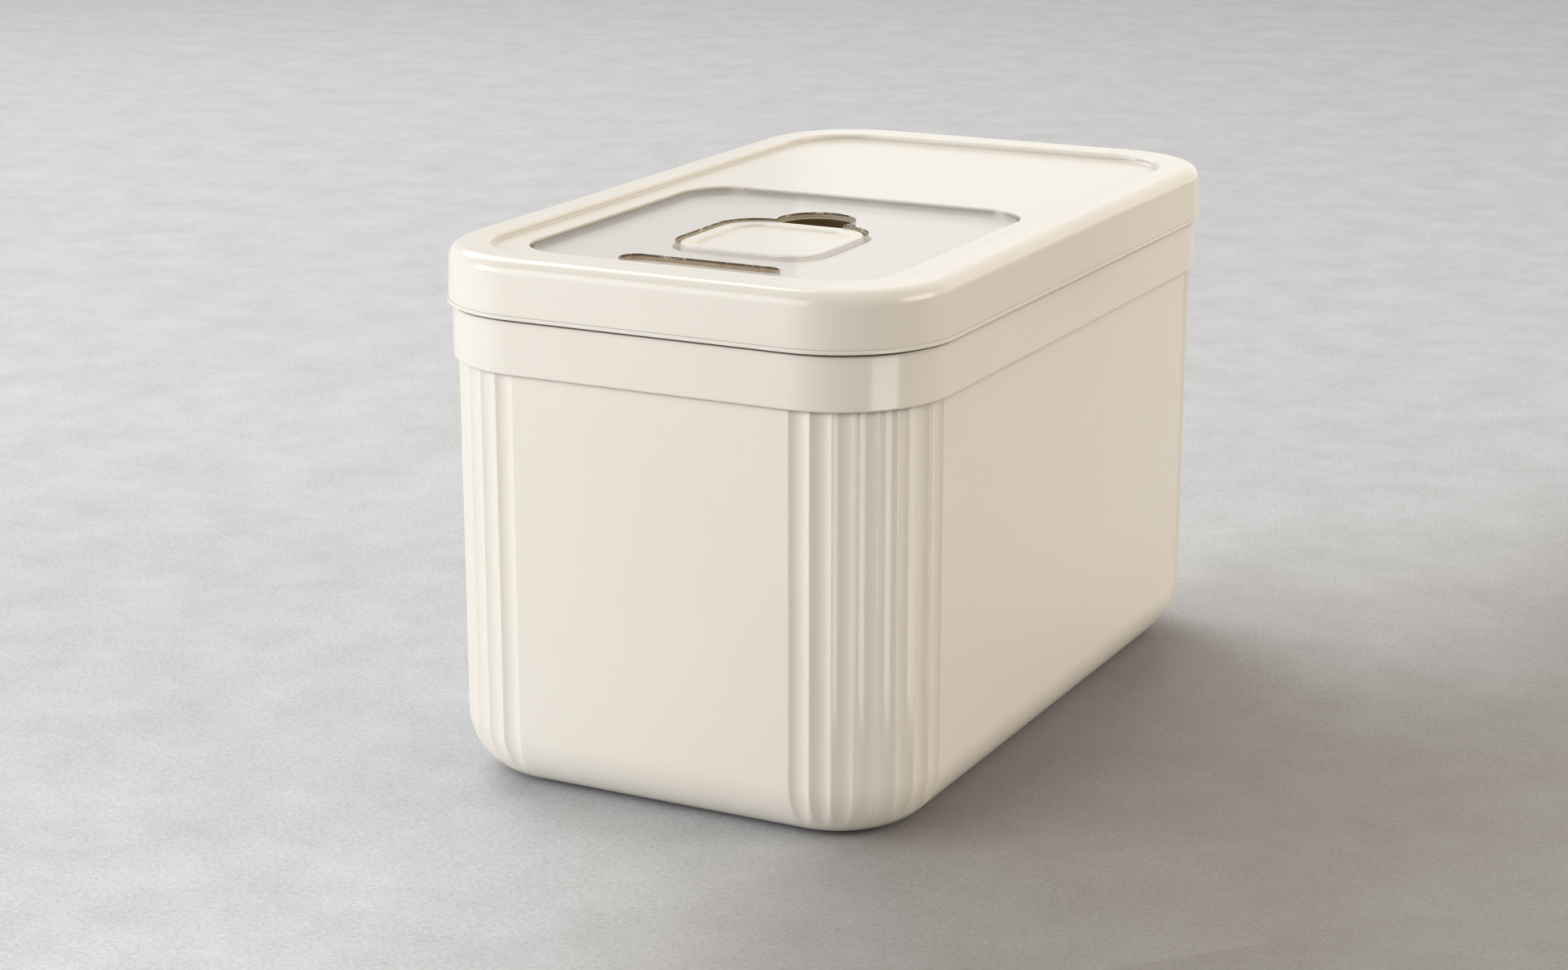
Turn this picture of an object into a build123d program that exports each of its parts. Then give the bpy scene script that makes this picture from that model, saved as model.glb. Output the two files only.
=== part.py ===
from build123d import *

import os
from math import radians, sin, sqrt

# Food storage bin: a tub with fluted corners, a collar over its edge and a lid that lifts off.
# The lid carries a clear flap on a hinge, and the flap holds a small box for a drying agent.
# Millimetres. The origin is the middle of the footprint on the floor, X runs across the
# front, Y to the back and Z up.

os.makedirs("parts", exist_ok=True)

# Body: the outline that the tub, the collar and the lid are all offset from
body_width = 222.0
body_depth = 371.6
body_corner_r = 47.0

# Tub
tub_height = 206.0
tub_wall = 2.7
tub_floor = 2.8
tub_bottom_r = 27.0
foot_recess = 0.8
foot_width = 8.0

# Flutes: concave channels round each corner, which follow the bottom round and fade out
flutes_per_corner = 8
flute_depth = 1.35
flute_land = 0.5
flute_end_height = 7.0
flute_hidden_length = 4.5
flute_turn_angle = 65.0

# Collar
collar_step = 2.2
collar_fit = 0.4
collar_band_height = 23.5
collar_web = 3.0
collar_edge_r = 1.2
lip_thickness = 1.5
lip_fit = 0.3
lip_depth = 8.0
neck_growth = 0.2
neck_wall = 2.2
neck_height = 19.3
neck_edge_r = 0.6

# Lid
lid_step = 4.0
lid_height = 24.7
lid_shadow_gap = 0.5
lid_wall = 2.2
lid_top_r = 6.0
bead_growth = 0.4
bead_height = 1.7
bead_edge_r = 0.35
rim_width = 18.4
rim_back_width = 22.4
rim_step = 2.7
rim_soft_r = 1.3
rim_wall = 2.0
deck_thickness = 2.2
seal_rib = 1.8
seal_rib_drop = 2.8
seal_channel_drop = 1.3

# Lid seal
lid_seal_inset = 3.0
lid_seal_width = 4.0
lid_seal_height = 2.7
lid_seal_fit = 0.1

# Pocket in the deck for the flap, and the opening in its floor for scooping
pocket_side_margin = 12.6
pocket_front_margin = 16.8
pocket_depth = 175.1
pocket_corner_r = 24.0
pocket_floor_depth = 8.7
pocket_wall = 2.0
pocket_edge_r = 0.5
ledge_thickness = 2.2
ledge_side_width = 12.0
ledge_front_width = 32.6
ledge_back_width = 21.5
scoop_corner_r = 20.0

# Finger slot in the flap, over a trough in the lid
slot_length = 74.0
slot_width = 14.5
slot_from_pocket_front = 13.6
trough_length = 84.0
trough_width = 20.0
trough_depth = 9.0
trough_corner_r = 9.0
trough_wall = 2.0

# Flap: a clear window bonded on a plate, with a soft seal under the plate
flap_gap = 1.0
window_below_deck = 1.2
window_thickness = 3.0
window_edge_r = 0.4
plate_thickness = 2.0
flap_seal_margin = 3.0
flap_seal_width = 4.0

# Hinge: round pegs on the window's back corners, level with its top, which turn in bores in
# the lid. Where a length ends in inset, it runs inwards from the pocket's side.
peg_r = 0.6
peg_fit = 0.05
peg_behind_edge = 0.8
peg_start_inset = 22.0
peg_end_inset = 10.0
bore_start_inset = 18.0
bore_end_gap = 0.4
boss_wall = 2.0
boss_width = 6.0
boss_start_inset = 20.0

# Keyhole through the flap: a rounded square for the box's cap and a round finger notch
keyhole_width = 73.0
keyhole_depth = 72.0
keyhole_corner_r = 17.0
keyhole_from_scoop_front = 47.5
notch_r = 17.6
notch_behind_keyhole = 6.4
notch_well_depth = 13.5
well_wall = 1.6
box_ledge_thickness = 1.8

# Drying box
cap_gap = 1.5
cap_below_window = 1.2
cap_thickness = 3.0
cap_edge_r = 0.7
dish_inset = 6.5
dish_depth = 1.2
dish_soft_r = 0.55
plug_fit = 0.3
plug_wall = 1.6
plug_depth = 5.8
box_seal_height = 1.2
box_seal_inset = 0.6
flange_inset = 2.0
flange_thickness = 2.0
flange_width = 2.2
cup_fit = 0.2
cup_wall = 1.6
cup_height = 22.0
cup_bottom_r = 3.0
vent_r = 1.4
vent_pitch = 8.0
vents_per_side = 5

# A cutter reaches this far past the face that it opens
overshoot = 2.0

# Edges whose heights differ by less than this count as level
level_tolerance = 0.01

# Heights that pieces share
collar_bottom = tub_height + collar_web - collar_band_height
shoulder_top = tub_height + collar_web
neck_top = shoulder_top + neck_height
lid_bottom = shoulder_top + lid_shadow_gap
lid_top = lid_bottom + lid_height
lid_roof = neck_top + lid_seal_height
deck_top = lid_top - rim_step
deck_bottom = deck_top - deck_thickness
ledge_top = deck_top - pocket_floor_depth
ledge_bottom = ledge_top - ledge_thickness
window_top = deck_top - window_below_deck
window_bottom = window_top - window_thickness
plate_bottom = window_bottom - plate_thickness
cap_top = window_top - cap_below_window
cap_bottom = cap_top - cap_thickness
flange_top = cap_bottom - box_seal_height
flange_bottom = flange_top - flange_thickness
box_ledge_bottom = flange_bottom - box_ledge_thickness
hinge_z = window_top
boss_bottom = hinge_z - peg_r - boss_wall


def grown(size, by):
    """A rounded rectangle's width, depth and corner radius, moved outwards by a distance."""
    width, depth, corner_r = size
    return (width + 2 * by, depth + 2 * by, corner_r + by)


def block(size, low, high, centre_y=0.0, mode=Mode.ADD):
    """A rounded rectangle that stands between two heights."""
    with BuildSketch(Plane.XY.offset(low)) as section:
        with Locations((0, centre_y)):
            RectangleRounded(*size)
    extrude(section.sketch, amount=high - low, mode=mode)


def ring(outer, inner, low, high, centre_y=0.0, inner_shift=0.0, mode=Mode.ADD):
    """The wall between two rounded rectangles, the inner one shifted along the bin."""
    with BuildSketch(Plane.XY.offset(low)) as section:
        with Locations((0, centre_y)):
            RectangleRounded(*outer)
        with Locations((0, centre_y + inner_shift)):
            RectangleRounded(*inner, mode=Mode.SUBTRACT)
    extrude(section.sketch, amount=high - low, mode=mode)


def slot(length, width, low, high, centre_y, mode=Mode.ADD):
    """A slot with round ends that lies across the lid."""
    with BuildSketch(Plane.XY.offset(low)) as section:
        with Locations((0, centre_y)):
            SlotOverall(length, width)
    extrude(section.sketch, amount=high - low, mode=mode)


def notch(radius, front_y, low, high, mode=Mode.ADD):
    """The part of the finger notch's circle that lies behind a line across the lid."""
    with BuildSketch(Plane.XY.offset(low)) as section:
        with Locations((0, notch_y)):
            Circle(radius)
        with Locations((0, front_y)):
            Rectangle(4 * radius, 4 * radius, align=(Align.CENTER, Align.MAX), mode=Mode.SUBTRACT)
    extrude(section.sketch, amount=high - low, mode=mode)


def within_pocket(edge):
    """Whether an edge's middle lies over the pocket, or on its wall."""
    middle = edge.center()
    across = abs(middle.X) < pocket_width / 2 + overshoot
    along = abs(middle.Y - pocket_y) < pocket_depth / 2 + overshoot
    return across and along


def on_bead(edge):
    """Whether an edge lies on the lid's bead, outside the skirt's own face."""
    start = edge @ 0
    past_side = abs(start.X) > (lid_size[0] + bead_growth) / 2
    past_end = abs(start.Y) > (lid_size[1] + bead_growth) / 2
    return past_side or past_end


def edges_at(part, height):
    """The edges of a part that lie flat at one height."""
    low = height - level_tolerance
    high = height + level_tolerance
    return part.edges().filter_by_position(Axis.Z, low, high)


body_size = (body_width, body_depth, body_corner_r)
collar_size = grown(body_size, collar_step)
lid_size = grown(body_size, lid_step)
bead_size = grown(lid_size, bead_growth)

# The rim is wider along the back than along the front and the sides, so the deck is off centre
deck_width = lid_size[0] - 2 * rim_width
deck_depth = lid_size[1] - rim_width - rim_back_width
deck_size = (deck_width, deck_depth, lid_size[2] - rim_width)
deck_y = (rim_width - rim_back_width) / 2

# The pocket keeps its margins from the deck's front and sides
pocket_width = deck_width - 2 * pocket_side_margin
pocket_front = deck_y - deck_depth / 2 + pocket_front_margin
pocket_back = pocket_front + pocket_depth
pocket_y = (pocket_front + pocket_back) / 2
pocket_size = (pocket_width, pocket_depth, pocket_corner_r)
flap_size = grown(pocket_size, -flap_gap)

# The ledge round the scoop opening carries the flap
scoop_front = pocket_front + ledge_front_width
scoop_back = pocket_back - ledge_back_width
scoop_width = pocket_width - 2 * ledge_side_width
scoop_size = (scoop_width, scoop_back - scoop_front, scoop_corner_r)
scoop_y = (scoop_front + scoop_back) / 2
slot_y = pocket_front + slot_from_pocket_front
trough_size = (trough_length, trough_width, trough_corner_r)

# Hinge
hinge_y = pocket_back - flap_gap - peg_behind_edge
peg_start = pocket_width / 2 - peg_start_inset
peg_end = pocket_width / 2 - peg_end_inset
bore_end = peg_end + bore_end_gap
boss_start = pocket_width / 2 - boss_start_inset
boss_end = bore_end + boss_wall
bore_start = pocket_width / 2 - bore_start_inset

# Keyhole and what stands in it
keyhole_y = scoop_front + keyhole_from_scoop_front
keyhole_size = (keyhole_width, keyhole_depth, keyhole_corner_r)
keyhole_back = keyhole_y + keyhole_depth / 2
notch_y = keyhole_back + notch_behind_keyhole
cap_size = grown(keyhole_size, -cap_gap)
flange_size = grown(cap_size, -flange_inset)
cup_size = grown(flange_size, -flange_width)
cup_bore_size = grown(cup_size, -cup_wall)

# Flute cutter: a round bar that runs down the corner and turns in along the bottom round.
# Its turn is wider than the bottom round, so the flute gets shallower and ends.
flute_angle = 90.0 / flutes_per_corner
flute_half_angle = radians(flute_angle) / 2 - flute_land / (2 * body_corner_r)
flute_half_width = body_corner_r * sin(flute_half_angle)
valley_r = body_corner_r - flute_depth
flute_sagitta = sqrt(body_corner_r**2 - flute_half_width**2) - valley_r
flute_r = (flute_half_width**2 + flute_sagitta**2) / (2 * flute_sagitta)
end_drop = tub_bottom_r - flute_end_height
end_r = body_corner_r - tub_bottom_r + sqrt(tub_bottom_r**2 - end_drop**2)
valley_inset = valley_r - end_r
flute_turn_r = (valley_inset**2 + end_drop**2) / (2 * valley_inset) + flute_r
flute_top = collar_bottom + flute_hidden_length

with BuildPart() as flute_cutter:
    with BuildLine(Plane.XZ):
        run = Line((0, flute_top), (0, tub_bottom_r))
        JernArc(run @ 1, run % 1, flute_turn_r, -flute_turn_angle)
    with BuildSketch(Plane.XY.offset(flute_top)):
        Circle(flute_r)
    sweep()

# Tub
with BuildPart() as tub_bore:
    block(grown(body_size, -tub_wall), tub_floor, tub_height + overshoot)
    fillet(edges_at(tub_bore, tub_floor), tub_bottom_r - tub_wall)

with BuildPart() as tub:
    block(body_size, 0, tub_height)
    fillet(edges_at(tub, 0), tub_bottom_r)
    for quarter in range(4):
        side_x = 1 if quarter in (0, 3) else -1
        side_y = 1 if quarter in (0, 1) else -1
        corner_x = side_x * (body_width / 2 - body_corner_r)
        corner_y = side_y * (body_depth / 2 - body_corner_r)
        first_flute = 90 * quarter + flute_angle / 2
        with Locations((corner_x, corner_y, 0)):
            with PolarLocations(valley_r + flute_r, flutes_per_corner, first_flute, 90):
                add(flute_cutter.part, mode=Mode.SUBTRACT)
    add(tub_bore.part, mode=Mode.SUBTRACT)
    block(grown(body_size, -tub_bottom_r - foot_width), 0, foot_recess, mode=Mode.SUBTRACT)
tub.part.label = "tub"
export_step(tub.part, "parts/tub.step")

# Collar: an upturned channel over the tub's edge, with a neck that the lid seals on
lip_size = grown(body_size, -tub_wall - lip_fit)
lip_bore_size = grown(lip_size, -lip_thickness)
neck_size = grown(body_size, neck_growth)
with BuildPart() as rim_collar:
    ring(collar_size, grown(body_size, collar_fit), collar_bottom, tub_height)
    ring(collar_size, lip_bore_size, tub_height, shoulder_top)
    ring(lip_size, lip_bore_size, tub_height - lip_depth, tub_height)
    fillet(
        rim_collar.faces().sort_by(Axis.Z)[0].outer_wire().edges()
        + rim_collar.faces().sort_by(Axis.Z)[-1].outer_wire().edges(),
        collar_edge_r,
    )
    ring(neck_size, grown(neck_size, -neck_wall), shoulder_top, neck_top)
    fillet(edges_at(rim_collar, neck_top), neck_edge_r)
rim_collar.part.label = "rim_collar"
export_step(rim_collar.part, "parts/rim_collar.step")

# Lid frame
skirt_bore_size = grown(lid_size, -lid_wall)
lid_seal_size = grown(lid_size, -lid_seal_inset)
lid_seal_bore_size = grown(lid_seal_size, -lid_seal_width)
channel_size = grown(lid_seal_size, lid_seal_fit)
rib_size = grown(lid_seal_bore_size, -lid_seal_fit)
rib_bore_size = grown(rib_size, -seal_rib)
rib_bottom = neck_top - seal_rib_drop
channel_bottom = neck_top - seal_channel_drop
trough_floor = ledge_top - trough_depth
with BuildPart() as lid_frame:
    block(lid_size, lid_bottom, lid_top)
    fillet(edges_at(lid_frame, lid_top), lid_top_r)
    block(deck_size, deck_top, lid_top + overshoot, deck_y, mode=Mode.SUBTRACT)
    rim_edges = edges_at(lid_frame, deck_top)
    rim_edges += lid_frame.faces().sort_by(Axis.Z)[-1].inner_wires()[0].edges()
    fillet(rim_edges, rim_soft_r)
    block(bead_size, lid_bottom, lid_bottom + bead_height)
    bead_edges = lid_frame.faces().sort_by(Axis.Z)[0].outer_wire().edges()
    bead_edges += edges_at(lid_frame, lid_bottom + bead_height).filter_by(on_bead)
    fillet(bead_edges, bead_edge_r)

    # Hollow underside, with the channel for the seal round the edge
    block(skirt_bore_size, lid_bottom, rib_bottom, mode=Mode.SUBTRACT)
    ring(skirt_bore_size, rib_size, rib_bottom, channel_bottom, mode=Mode.SUBTRACT)
    ring(channel_size, rib_size, channel_bottom, lid_roof, mode=Mode.SUBTRACT)
    block(rib_bore_size, rib_bottom, deck_bottom, mode=Mode.SUBTRACT)
    deck_wall_size = grown(deck_size, rim_wall)
    ring(rib_bore_size, deck_wall_size, deck_bottom, lid_roof, 0.0, deck_y, Mode.SUBTRACT)

    # Pocket, finger trough and hinge bosses
    block(grown(pocket_size, pocket_wall), ledge_bottom, deck_bottom, pocket_y)
    block(grown(trough_size, trough_wall), trough_floor - trough_wall, ledge_bottom, slot_y)
    with BuildSketch(Plane.XY.offset(boss_bottom)) as boss_sketch:
        for side in (-1, 1):
            with Locations((side * (boss_start + boss_end) / 2, hinge_y)):
                Rectangle(boss_end - boss_start, boss_width)
    extrude(boss_sketch.sketch, amount=deck_bottom - boss_bottom)
    block(pocket_size, ledge_top, deck_top + overshoot, pocket_y, mode=Mode.SUBTRACT)
    pocket_opening = edges_at(lid_frame, deck_top).filter_by(within_pocket)
    fillet(pocket_opening, pocket_edge_r)
    block(scoop_size, ledge_bottom, ledge_top, scoop_y, mode=Mode.SUBTRACT)
    block(trough_size, trough_floor, ledge_top, slot_y, mode=Mode.SUBTRACT)

    # Bores for the flap's pegs, which run outwards from the pocket's back corners
    with BuildSketch(Plane.YZ.offset(-bore_end)) as bore_sketch:
        with Locations((hinge_y, hinge_z)):
            Circle(peg_r + peg_fit)
    extrude(bore_sketch.sketch, amount=bore_end - bore_start, mode=Mode.SUBTRACT)
    with BuildSketch(Plane.YZ.offset(bore_start)) as bore_sketch:
        with Locations((hinge_y, hinge_z)):
            Circle(peg_r + peg_fit)
    extrude(bore_sketch.sketch, amount=bore_end - bore_start, mode=Mode.SUBTRACT)
lid_frame.part.label = "lid_frame"
export_step(lid_frame.part, "parts/lid_frame.step")

# Seal in the lid's channel, which presses on the collar's neck
with BuildPart() as lid_gasket:
    ring(lid_seal_size, lid_seal_bore_size, neck_top, lid_roof)
lid_gasket.part.label = "lid_gasket"
export_step(lid_gasket.part, "parts/lid_gasket.step")

# Flap plate, with a well for the drying box and a deeper one for a fingertip behind it
well_size = grown(keyhole_size, well_wall)
notch_front = keyhole_back + well_wall
notch_floor = window_bottom - notch_well_depth
with BuildPart() as flap_plate:
    block(flap_size, plate_bottom, window_bottom, pocket_y)
    block(well_size, box_ledge_bottom, plate_bottom, keyhole_y)
    notch(notch_r + well_wall, keyhole_back, notch_floor - well_wall, plate_bottom)
    block(keyhole_size, flange_bottom, window_bottom, keyhole_y, mode=Mode.SUBTRACT)
    block(grown(cup_size, cup_fit), box_ledge_bottom, flange_bottom, keyhole_y, mode=Mode.SUBTRACT)
    notch(notch_r, keyhole_y, flange_bottom, window_bottom, mode=Mode.SUBTRACT)
    notch(notch_r, notch_front, notch_floor, flange_bottom, mode=Mode.SUBTRACT)
    slot(slot_length, slot_width, plate_bottom, window_bottom, slot_y, mode=Mode.SUBTRACT)
flap_plate.part.label = "flap_plate"
export_step(flap_plate.part, "parts/flap_plate.step")

# Clear window of the flap
with BuildPart() as flap_window:
    block(flap_size, window_bottom, window_top, pocket_y)
    block(keyhole_size, window_bottom, window_top, keyhole_y, mode=Mode.SUBTRACT)
    notch(notch_r, keyhole_y, window_bottom, window_top, mode=Mode.SUBTRACT)
    slot(slot_length, slot_width, window_bottom, window_top, slot_y, mode=Mode.SUBTRACT)
    fillet(edges_at(flap_window, window_top), window_edge_r)
    with BuildSketch(Plane.YZ.offset(-peg_end)) as peg_sketch:
        with Locations((hinge_y, hinge_z)):
            Circle(peg_r)
    extrude(peg_sketch.sketch, amount=peg_end - peg_start)
    with BuildSketch(Plane.YZ.offset(peg_start)) as peg_sketch:
        with Locations((hinge_y, hinge_z)):
            Circle(peg_r)
    extrude(peg_sketch.sketch, amount=peg_end - peg_start)
flap_window.part.label = "flap_window"
export_step(flap_window.part, "parts/flap_window.step")

# Seal under the flap, round the scoop opening
flap_seal_bore_size = grown(scoop_size, flap_seal_margin)
with BuildPart() as flap_gasket:
    ring(grown(flap_seal_bore_size, flap_seal_width), flap_seal_bore_size, ledge_top, plate_bottom, scoop_y)
flap_gasket.part.label = "flap_gasket"
export_step(flap_gasket.part, "parts/flap_gasket.step")

# Drying box: a cup with vents in its bottom, which stays in the flap's well, on its flange
cup_bottom = flange_top - cup_height
with BuildPart() as dry_box_cup:
    block(cup_size, cup_bottom, flange_top, keyhole_y)
    fillet(edges_at(dry_box_cup, cup_bottom), cup_bottom_r)
    block(flange_size, flange_bottom, flange_top, keyhole_y)
    block(cup_bore_size, cup_bottom + cup_wall, flange_top, keyhole_y, mode=Mode.SUBTRACT)
    with BuildSketch(Plane.XY.offset(cup_bottom)) as vents:
        with Locations((0, keyhole_y)):
            with GridLocations(vent_pitch, vent_pitch, vents_per_side, vents_per_side):
                Circle(vent_r)
    extrude(vents.sketch, amount=cup_wall, mode=Mode.SUBTRACT)
dry_box_cup.part.label = "dry_box_cup"
export_step(dry_box_cup.part, "parts/dry_box_cup.step")

# Cap of the drying box: dished on top, with a plug that fits the cup
plug_size = grown(cup_bore_size, -plug_fit)
dish_size = grown(cap_size, -dish_inset)
with BuildPart() as dry_box_cap:
    block(cap_size, cap_bottom, cap_top, keyhole_y)
    fillet(edges_at(dry_box_cap, cap_top), cap_edge_r)
    block(dish_size, cap_top - dish_depth, cap_top, keyhole_y, mode=Mode.SUBTRACT)
    dish_rim = dry_box_cap.faces().sort_by(Axis.Z)[-1].inner_wires()[0].edges()
    fillet(dish_rim + edges_at(dry_box_cap, cap_top - dish_depth), dish_soft_r)
    ring(plug_size, grown(plug_size, -plug_wall), cap_bottom - plug_depth, cap_bottom, keyhole_y)
dry_box_cap.part.label = "dry_box_cap"
export_step(dry_box_cap.part, "parts/dry_box_cap.step")

# Seal between the cap and the cup's flange
with BuildPart() as dry_box_seal:
    ring(grown(flange_size, -box_seal_inset), cup_bore_size, flange_top, cap_bottom, keyhole_y)
dry_box_seal.part.label = "dry_box_seal"
export_step(dry_box_seal.part, "parts/dry_box_seal.step")
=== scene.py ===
"""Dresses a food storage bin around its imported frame: a fluted tub, a collar, and a lid with a clear flap."""

import logging
from collections.abc import Callable
from dataclasses import dataclass, field
from enum import Enum
from functools import cached_property
from math import atan2, cos, degrees, hypot, radians, sin, sqrt

import bmesh
import bpy
from bmesh.types import BMEdge, BMesh, BMVert
from bpy.types import Material, NodeSocket, Object, ShaderNode, World
from mathutils import Euler, Matrix, Vector


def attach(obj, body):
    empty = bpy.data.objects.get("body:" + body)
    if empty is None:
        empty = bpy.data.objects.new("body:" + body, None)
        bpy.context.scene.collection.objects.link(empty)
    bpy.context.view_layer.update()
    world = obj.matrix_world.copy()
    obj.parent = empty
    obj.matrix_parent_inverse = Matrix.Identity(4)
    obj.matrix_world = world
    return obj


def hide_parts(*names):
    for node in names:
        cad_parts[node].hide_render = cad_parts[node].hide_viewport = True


Profile = Callable[["Pen"], object]
Plan = Callable[["Pen", float], object]
Colour = tuple[float, float, float, float]
Place = tuple[float, float, float]
Pair = tuple[float, float]

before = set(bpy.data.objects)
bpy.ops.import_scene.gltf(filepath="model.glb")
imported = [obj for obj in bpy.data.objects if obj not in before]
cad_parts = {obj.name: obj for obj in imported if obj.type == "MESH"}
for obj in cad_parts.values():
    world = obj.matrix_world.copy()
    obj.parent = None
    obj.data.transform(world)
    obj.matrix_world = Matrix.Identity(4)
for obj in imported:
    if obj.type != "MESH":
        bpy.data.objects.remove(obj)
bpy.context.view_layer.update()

log = logging.getLogger("storage_bin")

MM = 0.001
WELD = 0.0005
NODE_WELD = 0.000002
LEVEL = 0.01
CREASE = 32
BEVEL_SEGMENTS = 2
HALVINGS = 22
KEY_DIGITS = 5
PLASTIC_IOR = 1.49
OCCLUSION_SAMPLES = 8
MIX_FIRST, MIX_SECOND, MIX_RESULT = 6, 7, 2


class Body(Enum):
    """The frame's moving bodies that pieces ride on."""

    BASE = "base"
    LID = "lid"
    FLAP = "flap"
    DRY_CAP = "dry_cap"


class Slot(Enum):
    """Names of material slots, passed with each new piece but not used."""

    CREAM = "cream_plastic"
    CLEAR = "clear_plastic"


ACROSS = Vector((1, 0, 0))
ALONG = Vector((0, 1, 0))
UP = Vector((0, 0, 1))


@dataclass(frozen=True)
class Outline:
    """A rounded rectangle in millimetres that walls and edges are offset from."""

    width: float
    depth: float
    corner_r: float
    centre_y: float = 0.0

    def grown(self, by: float) -> "Outline":
        """The same outline moved outwards by a distance."""
        return Outline(self.width + 2 * by, self.depth + 2 * by, self.corner_r + by, self.centre_y)

    def corner(self) -> Pair:
        """How far the centre of a corner's round is from the outline's own, across and along."""
        return self.width / 2 - self.corner_r, self.depth / 2 - self.corner_r


def pick(items: list, kind: type) -> list:
    """The items that are of a kind."""
    return [item for item in items if isinstance(item, kind)]


def whole(mesh: BMesh) -> list:
    """All vertices, edges and faces of a mesh."""
    return mesh.verts[:] + mesh.edges[:] + mesh.faces[:]


def spin(mesh: BMesh, items: list, centre: Vector, axis: Vector, sweep: float, steps: int) -> list:
    """Spins vertices and edges round an axis by degrees and returns those at the end."""
    return bmesh.ops.spin(
        mesh, geom=items, cent=centre, axis=axis, dvec=(0, 0, 0), angle=radians(sweep), steps=steps,
        use_merge=False, use_duplicate=False,
    )["geom_last"]


def extend(mesh: BMesh, edges: list, move: Vector) -> list:
    """Extrudes edges by a move.

    Args:
        mesh: the mesh that they are in.
        edges: the edges.
        move: how far the new ones are from them.

    Returns:
        The new edges.
    """
    made = bmesh.ops.extrude_edge_only(mesh, edges=edges)["geom"]
    moved = pick(made, BMVert)
    bmesh.ops.translate(mesh, verts=moved, vec=move)
    ends = set(moved)
    return [edge for edge in pick(made, BMEdge) if ends.issuperset(edge.verts)]


def soften(mesh: BMesh, edges: list, radius: float) -> None:
    """Rounds edges off."""
    bmesh.ops.bevel(
        mesh, geom=edges, offset=radius, affect="EDGES", segments=BEVEL_SEGMENTS, profile=0.5, material=-1,
    )


@dataclass
class Pen:
    """Draws a wire in a plane, by extruding and spinning its last vertex."""

    mesh: BMesh
    origin: Vector
    right: Vector
    up: Vector
    tip: BMVert | None = None
    first: BMVert | None = None

    def _point(self, right: float, up: float) -> Vector:
        """The place of a pair of the pen's coordinates."""
        return self.origin + right * self.right + up * self.up

    def start(self, right: float, up: float) -> "Pen":
        """Sets the first vertex down."""
        self.tip = self.first = bmesh.ops.create_vert(self.mesh, co=self._point(right, up))["vert"][0]
        return self

    def line(self, right: float, up: float) -> "Pen":
        """Draws a straight edge.

        Args:
            right: the first coordinate of its end.
            up: the second coordinate of its end.

        Returns:
            The pen itself.
        """
        self.tip = bmesh.ops.extrude_vert_indiv(self.mesh, verts=[self.tip])["verts"][0]
        self.tip.co = self._point(right, up)
        return self

    def turn(self, right: float, up: float, sweep: float, steps: int) -> "Pen":
        """Draws an arc.

        Args:
            right: the first coordinate of the arc's centre.
            up: the second coordinate of the arc's centre.
            sweep: how many degrees it turns, to the left where positive.
            steps: how many edges it has.

        Returns:
            The pen itself.
        """
        axis = self.right.cross(self.up)
        made = spin(self.mesh, [self.tip], self._point(right, up), axis, sweep, steps)
        self.tip = pick(made, BMVert)[0]
        return self

    def close(self) -> None:
        """Joins the last vertex to the first."""
        bmesh.ops.contextual_create(self.mesh, geom=[self.tip, self.first])


def link_mesh(name: str, mesh: BMesh, finish: Material) -> Object:
    """Turns a mesh into an object of the scene.

    Args:
        name: the object's name.
        mesh: its mesh, which is freed.
        finish: its material.

    Returns:
        The object.
    """
    data = bpy.data.meshes.new(name)
    mesh.to_mesh(data)
    mesh.free()
    data.materials.append(finish)
    made = bpy.data.objects.new(name, data)
    bpy.context.scene.collection.objects.link(made)
    return made


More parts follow.
